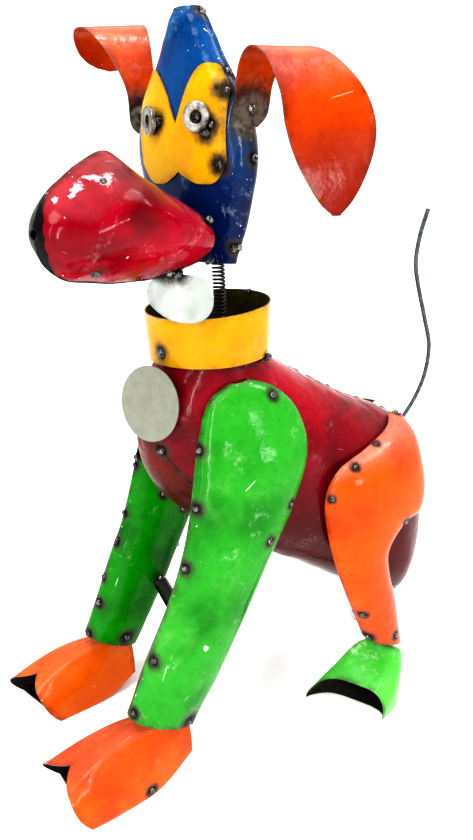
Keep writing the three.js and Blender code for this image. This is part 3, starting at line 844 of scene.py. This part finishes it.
def collar():
    def at(u, v):
        c, s = np.cos(TAU * u), np.sin(TAU * u)
        low = np.stack([60 * c, 30 + 60 * s, 455 + 2 * s], -1)
        top = np.stack([60 * c, 30 + 62 * s, 504.5 + 5.5 * s - 1.5 * c], -1)
        return top + (low - top) * v[..., None]

    def relief(p):
        return noise(p, 34, 2.0) * 0.7 + noise(p, 13, 3.0) * 0.15
    sheet("collar", at, 150, 18, (YELLOW, SHADED_COLLAR_INSIDE), "root", "yellow", relief, ring=True)


def disc_at(centre, normal, rx, rz, outline=((1,), (1,))):
    """Round plate as a grid; outline lists how far the rim reaches, around from the side."""
    n = unit(np.array(normal, float))
    side = unit(np.cross(Z, n))
    up = np.cross(n, side)
    centre = np.array(centre, float)
    rim = through(outline)

    def at(u, v):
        a, b = 2 * u - 1, 2 * v - 1
        x = a * np.sqrt(1 - b * b / 2)
        y = b * np.sqrt(1 - a * a / 2)
        reach = rim(np.arctan2(y, x) / TAU % 1)[..., 0]
        return (centre + side * (rx * x * reach)[..., None] + up * (rz * y * reach)[..., None])
    return at, n


def plates():
    at, n = disc_at((0, 31, 461.5), (0, -0.04, 1), 55, 55)
    sheet("neck_plate", at, 40, 40, (BELLY, DARK_INSIDE), "root", "belly_red",
          hammered(0.5, 3.0), outward=n)
    at, n = disc_at((32, -44.5, 420), (math.sin(0.72), -math.cos(0.72), 0.1), 31.1, 37)
    sheet("tag", at, 56, 56, (GREY_STEEL, GREY_STEEL), "root", "grey_steel",
          lambda p: noise(p, 30, 6.0) * 0.4, outward=n, thick=1.6)
    at, n = disc_at((50, -17, 520), (0.78, -0.62, 0.1), 30.5, 22,
                    [(x,) for x in (1.0, 1.08, 0.97, 1.12, 1.02, 0.88, 0.95, 1.06, 1.0)])

    def dented(p):
        return (noise(p, 17, 7.0) * 1.2 + noise(p, 9, 8.0) * 0.45
                + bump(p, (56, -12, 512), 9, -1.8) + bump(p, (42, -26, 526), 8, 1.3))
    sheet("jaw_plate", at, 60, 60, (WHITE, DARK_INSIDE), "head", "white", dented, outward=n)


def neck_spring():
    turns, per_turn = 21, 16
    k = np.arange(turns * per_turn + 1)
    t = k / k[-1]
    foot, top = np.array([0, 42.0, 464.0]), np.array([0, 41.0, 543.0])
    lean = np.stack([0 * t, 1.2 * np.sin(math.pi * t), 0 * t], -1)
    centre = foot + (top - foot) * t[:, None] + lean
    a = TAU * k / per_turn
    pts = centre + 5.6 * np.stack([np.cos(a), np.sin(a), 0 * a], -1)
    foot, top = (foot + SHIFT) / 1000, (top + SHIFT) / 1000
    piece = tube("neck_spring", pts, 1.15, 8, SPRING_STEEL, None, "steel", ["neck_spring"])
    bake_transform(piece)


def brace():
    pts = [(x, -17, 157) for x in np.linspace(-52, 52, 30)]
    tube("leg_brace", pts, 8.9, 32, SATIN_BLACK, "root", "black", ["leg_brace"], rough=0.12)


def tail():
    line = through([
        (0, 287, 341), (0, 304, 366), (0, 316, 397), (0, 318, 431), (0, 307, 465),
        (0, 292, 505), (0, 285, 531), (0, 287, 560), (0, 295, 588),
    ])
    pts = line(np.linspace(0, 1, 140))
    pts[:, 0] += 0.5 * np.sin(np.linspace(0, 9, 140))
    tube("tail", pts, 2.45, 18, ROD_STEEL, "root", "steel", ["tail"], rough=0.08)


def legs():
    for side, sign, shift in (("left", 1, (0, 0)), ("right", -1, FAR_SHIFT)):
        front, rear = foreleg_lines(sign, shift)
        leg = hoop(front, rear, FORELEG_SWELL, X * sign)

        def outer(u, v, leg=leg):
            s = u * (1 + 0.012 * np.sin(math.pi * v))
            return leg(np.minimum(s, 1), 0.012 + (math.pi - 0.024) * v)

        def inner(u, v, leg=leg):
            return leg(0.46 + 0.54 * u, math.pi + 0.012 + (math.pi - 0.024) * v)
        relief = hammered(0.75, 2.0 + sign)
        sheet(f"foreleg_{side}_outer", outer, 110, 44, (GREEN, DARK_INSIDE), "root", "green",
              relief, outward=X * sign)
        sheet(f"foreleg_{side}_inner", inner, 70, 40, (SHADE_GREEN, DARK_INSIDE), "root", "green",
              relief, outward=X * -sign)
        front, rear = haunch_lines(sign)
        thigh = hoop(front, rear, HAUNCH_SWELL, X * sign)

        def outer(u, v, thigh=thigh):
            return thigh(u, 0.015 + (math.pi - 0.03) * v)

        def inner(u, v, thigh=thigh):
            return thigh(0.88 + 0.12 * u, math.pi + 0.02 + (math.pi - 0.04) * v)
        relief = hammered(0.6, 5.0 + sign)
        sheet(f"haunch_{side}", outer, 120, 44, (THIGH_ORANGE, DARK_INSIDE), "root", "orange",
              relief, outward=X * sign)
        sheet(f"hind_leg_{side}_inner", inner, 40, 30, (THIGH_ORANGE, DARK_INSIDE), "root",
              "orange", relief, outward=X * -sign)


def foot(name, right, left, arch, reach, paint, slot, square, creases):
    """Folded foot with a sole: round the section by u, from ankle to toes by v."""
    body = hoop(right, left, [(height, 0) for height in arch], Z, square)

    def at(u, v):
        angle = TAU * u
        p = body(v * reach(np.sin(angle), np.sin(2 * angle)), angle)
        p[..., 2] = np.maximum(p[..., 2], GROUND)
        return p

    def relief(p):
        half_turns = 2 * np.linspace(0, 1, p.shape[0])[:, None]
        along = np.linspace(0, 1, p.shape[1])[None, :]
        fold = 0
        for where, width, height in creases:
            fold = fold + height * np.exp(-((half_turns - where) / width) ** 2)
        fold = fold * np.sin(math.pi * np.clip(along * 0.85 + 0.1, 0, 1)) ** 0.5
        lift = np.clip((p[..., 2] - GROUND) / 6, 0, 1)
        return (hammered(0.5, 8.0)(p) + fold) * lift
    return sheet(name, at, 168, 60, (paint, SHADE_BLACK_INSIDE), "root", slot, relief, ring=True)


def feet():
    arch = [44, 76, 65, 40]

    def toes(one, two):
        return np.where(one > 0, 0.85 + 0.15 * np.abs(two) ** 0.7, 0.85)
    fore_creases = ((0.34, 0.035, 2.0), (0.46, 0.03, -1.8), (0.62, 0.05, 1.6))
    foot("forefoot_left",
         [(58, -42, 24), (46, -88, 6), (34, -138, 3), (26, -188, 3)],
         [(80, -31, 24), (96, -76, 5), (106, -126, 3), (110, -164, 3)],
         arch, toes, ORANGE, "orange", 0.8, fore_creases)
    foot("forefoot_right",
         [(-86, -56, 24), (-102, -102, 5), (-112, -158, 3), (-116, -206, 3)],
         [(-64, -54, 24), (-55, -92, 5), (-48, -130, 3), (-42, -168, 3)],
         arch, toes, ORANGE, "orange", 0.8, fore_creases)
    inner = [(70, 226, 20), (62, 194, 22), (56, 164, 16), (49, 136, 3)]
    outer = [(94, 246, 20), (104, 236, 5), (113, 220, 3), (119, 202, 3)]
    arch = [54, 68, 42, 14]

    def flip(line):
        return [(-x, y + FAR_STRIDE, z) for x, y, z in line]

    def points(one, two):
        return 1 - np.where(one > 0, 0.2 * one, -0.26 * one)
    creases = ((0.4, 0.03, 1.2), (0.66, 0.04, 1.0))
    foot("hind_foot_left", inner, outer, arch, points, PALE_GREEN, "green", 0.5, creases)
    foot("hind_foot_right", flip(outer), flip(inner), arch, points, PALE_GREEN, "green", 0.5,
         creases)


# ---- head pieces -------------------------------------------------------------------------------
def head_relief(p):
    return hammered(0.7, 11.0)(p) + bump(p, (64, 20, 610), 16, -1.4)


def head_shells():
    low, tall = SKULL[0][0], SKULL[-1][0] - SKULL[0][0]

    def shell(start, end):
        return lambda u, v: skull(low + tall * u, start + 0.008 + (end - start - 0.016) * v)
    sheet("head_front", shell(0, math.pi), 110, 80, (BLUE, DARK_INSIDE), "head", "blue",
          head_relief)
    sheet("head_back", shell(math.pi, TAU), 110, 80, (BLUE, DARK_INSIDE), "head", "blue",
          head_relief)


def mask():
    def at(u, v):
        x = np.abs(2 * u - 1)
        corner = np.maximum((x - 0.62) / 0.38, 0) ** 2.2
        top = 117 + 44 * np.sin(np.minimum(2.7 * x, math.pi / 2)) - 20 * corner
        low = 80 - 10 * np.sin(np.minimum(3.2 * x, math.pi / 2)) + 18 * corner
        z = low + (top - low) * v
        w = skull_row(z)[..., 0]
        angle = np.arccos(np.clip((2 * u - 1) * 49 / w, -0.94, 0.94))
        return skull(z, angle, THICK + 0.9)
    sheet("mask", at, 120, 60, (YELLOW, DARK_INSIDE), "head", "yellow",
          lambda p: head_relief(p) + noise(p, 15, 3.3) * 0.2, outward=FORWARD)


def washer(name, l):
    """Thick washer with rounded rims."""
    angle = math.acos(l / EYE_ROW)
    base = skull(np.array(EYE_HEIGHT), np.array(angle), THICK * 2 + 3.6)
    facing = unit(FORWARD + LEFT * l / 75)
    side = unit(np.cross(Z, facing))
    up = np.cross(facing, side)
    section = [
        (4.9, 0.4), (4.9, 3.2), (5.3, 3.7), (5.9, 3.9), (10.7, 3.9), (11.4, 3.7),
        (11.8, 3.2), (11.8, 0.4), (11.4, 0.0), (5.3, 0.0),
    ]
    around = 72
    verts, faces = [], []
    for i in range(around):
        a = TAU * i / around
        for r, h in section:
            verts.append(base + side * r * math.cos(a) + up * r * math.sin(a) + facing * h)
    m = len(section)
    for i in range(around):
        for j in range(m):
            a, b = i * m, ((i + 1) % around) * m
            faces.append((a + j, b + j, b + (j + 1) % m, a + (j + 1) % m))
    verts = np.array(verts)
    verts += facing * (noise(verts, 6, 2.0) * 0.18)[:, None]
    piece = make(name, verts, faces, [BRIGHT_STEEL], [0] * len(faces), [True] * len(faces),
                 {"burn": burnt(verts) * 0.8, "edge": np.full(len(verts), 20.0)})
    piece.data.set_sharp_from_angle(angle=math.radians(35))
    return own(piece, "head", "steel", name)


def muzzle():
    body = muzzle_body()

    def red(u, v):
        return body(u, 0.012 + (math.pi - 0.024) * v)

    def black(u, v):
        p = body(u, math.pi + 0.012 + (math.pi - 0.024) * v)
        p[..., 2] -= 1.4 * np.exp(-v / 0.06)
        return p

    def beaten(p):
        return (hammered(0.9, 15.0)(p) + noise(p, 17, 16.0) * 0.6
                + bump(p, (92, -60, 575), 20, -2.6) + bump(p, (96, -100, 600), 16, -1.8)
                + bump(p, (92, -30, 572), 14, 1.2) + bump(p, (84, -120, 590), 13, 1.4))
    near = sheet("muzzle_left", red, 150, 90, (RED, SHADE_BLACK_INSIDE), "head", "red", beaten,
                 outward=LEFT)
    # the nose end is painted black
    near.data.materials.append(SATIN_BLACK)
    for face in near.data.polygons:
        place = np.array(face.center) * 1000 - SHIFT - HEAD_AT
        past = 0.64 * (place @ FORWARD) - 0.77 * (place @ LEFT)
        if face.material_index != 1 and past > NOSE_BLACK + 0.6 * math.sin(place[2] * 0.5):
            face.material_index = 3
    sheet("muzzle_right", black, 110, 90, (SATIN_BLACK, SHADE_BLACK_INSIDE), "head", "black",
          beaten, outward=-LEFT)


EARS = {
    "ear_left": ([
        (78, 32, 658), (78, 25, 667), (79, 24, 690), (86, 25, 706), (97, 28, 711),
        (112, 33, 702), (126, 37, 679), (134, 38, 655), (137, 46, 632), (138, 62, 608),
        (138, 77, 592),
    ], [
        (78, 43, 658), (78, 52, 668), (79, 56, 690), (87, 62, 707), (99, 69, 713),
        (116, 84, 708), (130, 103, 688), (137, 114, 664), (139, 114, 640), (139, 104, 614),
        (138, 89, 592),
    ]),
    "ear_right": ([
        (-60, -14, 659), (-60, -21, 668), (-66, -22, 697), (-80, -32, 726), (-98, -46, 748),
        (-114, -54, 752), (-127, -54, 746), (-134, -48, 734), (-137, -36, 724),
    ], [
        (-60, -3, 660), (-60, 4, 669), (-66, 6, 700), (-78, 8, 732), (-96, 10, 754),
        (-114, 10, 758), (-128, 8, 748), (-135, 2, 731), (-137, -12, 720),
    ]),
}


def ears():
    for name, (front, rear) in EARS.items():
        a, b = through(front), through(rear)

        def at(u, v, a=a, b=b):
            tip = np.clip((u - 0.94) / 0.06, 0, 0.8)
            across = 0.5 + (v - 0.5) * np.sqrt(1 - tip ** 2)
            return b(u) + (a(u) - b(u)) * across[..., None]
        sheet(name, at, 120, 44, (EAR_ORANGE, EAR_ORANGE), "head", "orange",
              lambda p: hammered(0.35, 21.0)(p))


torso()
collar()
plates()
neck_spring()
brace()
tail()
legs()
feet()
head_shells()
mask()
washer("eye_left", EYE_OUT)
washer("eye_right", -EYE_OUT)
muzzle()
ears()
bead_piece("welds_body", "root")
bead_piece("welds_head", "head")

# ---- floor, light and camera -----------------------------------------------------------------
def floor():
    data = bpy.data.meshes.new("floor")
    signs = ((-1, -1), (1, -1), (1, 1), (-1, 1))
    data.from_pydata([(x * FLOOR, y * FLOOR, 0) for x, y in signs], [], [(0, 1, 2, 3)])
    g = Graph("pale_floor")
    tone = g.mix(g.mask(g.noise(3, 2), 0.3, 0.7), rgb("ffffff"), rgb("fdfdfc"))
    data.materials.append(g.finish(tone, 0.6, 0.0, g.noise(40, 2), 0.0002))
    plane = bpy.data.objects.new("floor", data)
    bpy.context.scene.collection.objects.link(plane)


def area_light(name, place, target, width, height, watts):
    lamp = bpy.data.lights.new(name, "AREA")
    lamp.shape = "RECTANGLE"
    lamp.size, lamp.size_y = width, height
    lamp.energy = watts
    made = bpy.data.objects.new(name, lamp)
    made.location = place
    aim = Vector(target) - Vector(place)
    made.rotation_euler = aim.to_track_quat("-Z", "Y").to_euler()
    bpy.context.scene.collection.objects.link(made)


def sun(name, toward, strength, spread):
    lamp = bpy.data.lights.new(name, "SUN")
    lamp.energy = strength
    lamp.angle = math.radians(spread)
    made = bpy.data.objects.new(name, lamp)
    made.rotation_euler = Vector(toward).to_track_quat("-Z", "Y").to_euler()
    bpy.context.scene.collection.objects.link(made)


def studio():
    """White cyclorama, a dark band above it, a bright ceiling, one key and small softboxes."""
    world = bpy.data.worlds.new("studio")
    world.use_nodes = True
    tree = world.node_tree
    back = tree.nodes["Background"]
    place = tree.nodes.new("ShaderNodeTexCoord")
    split = tree.nodes.new("ShaderNodeSeparateXYZ")
    ramp = tree.nodes.new("ShaderNodeValToRGB")
    ramp.color_ramp.interpolation = "EASE"
    stops = [(0.0, 0.8), (0.22, 0.8), (0.34, 0.2), (0.6, 0.2), (0.82, 1.0)]
    marks = ramp.color_ramp.elements
    while len(marks) < len(stops):
        marks.new(0.5)
    for mark, (at, grey) in zip(marks, stops):
        mark.position = at
        mark.color = (grey, grey, grey, 1)
    tree.links.new(place.outputs["Generated"], split.inputs[0])
    tree.links.new(split.outputs[2], ramp.inputs[0])
    tree.links.new(ramp.outputs[0], back.inputs["Color"])
    back.inputs["Strength"].default_value = 1.3
    bpy.context.scene.world = world
    sun("key", (-0.35, 0.75, -0.8), 1.3, 24)
    sun("back_light", (-0.28, -0.5, -0.8), 1.0, 25)
    area_light("overhead", (0.1, -0.12, 2.1), (0, 0, 0.5), 0.2, 0.34, 11)
    area_light("overhead_front", (0.0, -0.75, 2.0), (0, 0, 0.5), 0.14, 0.2, 6)
    for across in (0.62, 0.78, 0.96):
        area_light("window", (2.0, across, 0.62), (0, 0, 0.42), 0.05, 0.26, 2.2)
    area_light("high_side", (0.65, 1.35, 1.65), (0, 0.1, 0.4), 0.4, 0.4, 8)
    area_light("strip", (1.17, -1.02, 0.62), (0, 0, 0.5), 0.06, 0.9, 6)
    area_light("strip_left", (0.72, -1.38, 0.75), (0, 0, 0.6), 0.05, 1.1, 3)
    bpy.context.scene.view_settings.view_transform = "Standard"
    bpy.context.scene.view_settings.look = "High Contrast"


def camera():
    data = bpy.data.cameras.new("camera")
    data.sensor_width = 36
    data.sensor_fit = "AUTO"
    data.lens = 27.04
    made = bpy.data.objects.new("camera", data)
    made.location = (np.array([577.0, -208.0, 620.0]) + SHIFT) / 1000
    azimuth, down = math.radians(65), math.radians(21)
    look = Vector((-math.sin(azimuth) * math.cos(down), math.cos(azimuth) * math.cos(down),
                   -math.sin(down)))
    made.rotation_euler = look.to_track_quat("-Z", "Y").to_euler()
    bpy.context.scene.collection.objects.link(made)
    bpy.context.scene.camera = made


floor()
studio()
camera()
